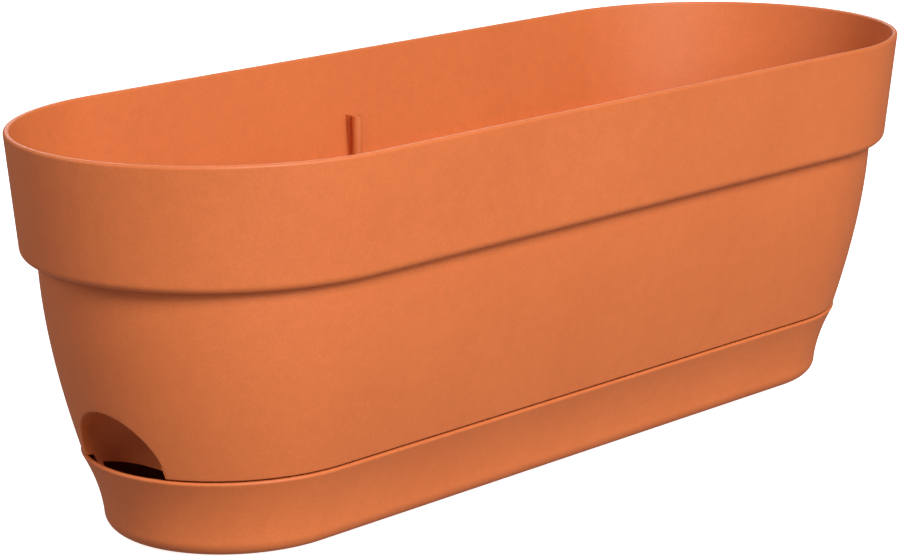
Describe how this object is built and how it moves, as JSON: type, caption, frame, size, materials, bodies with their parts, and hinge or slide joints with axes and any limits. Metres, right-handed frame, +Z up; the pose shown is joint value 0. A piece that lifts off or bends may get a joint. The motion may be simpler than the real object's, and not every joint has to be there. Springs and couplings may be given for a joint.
{
  "type": "self watering planter",
  "caption": "Long round-ended trough planter with a wide rim band, standing in a clip-on water reservoir saucer, with a side watering pocket, a perforated soil separator and slotted wick cups.",
  "frame": {"origin": "on the ground, under the middle of the planter", "axes": "+X along the planter, away from the end with the watering pocket; +Y towards the side with the hollow post; +Z up"},
  "size_m": [0.4948, 0.1722, 0.1655],
  "materials": {
    "trough_plastic": "fine matte texture, terracotta orange",
    "saucer_plastic": "fine matte texture, terracotta orange",
    "insert_plastic": "plain moulded black"
  },
  "bodies": {
    "saucer": {"reservoir_saucer": "saucer_plastic"},
    "trough": {"planter_trough": "trough_plastic"},
    "separator": {"soil_separator": "insert_plastic"},
    "wick_left": {"wick_cup_left": "insert_plastic"},
    "wick_right": {"wick_cup_right": "insert_plastic"}
  },
  "joints": [
    {"name": "trough_lift", "type": "slide", "parent": "saucer", "child": "trough", "axis": [0, 0, 1], "range_m": [0, 0.06]},
    {"name": "separator_lift", "type": "slide", "parent": "trough", "child": "separator", "axis": [0, 0, 1], "range_m": [0, 0.135]},
    {"name": "wick_cup_left_lift", "type": "slide", "parent": "separator", "child": "wick_left", "axis": [0, 0, 1], "range_m": [0, 0.04]},
    {"name": "wick_cup_right_lift", "type": "slide", "parent": "separator", "child": "wick_right", "axis": [0, 0, 1], "range_m": [0, 0.04]}
  ]
}
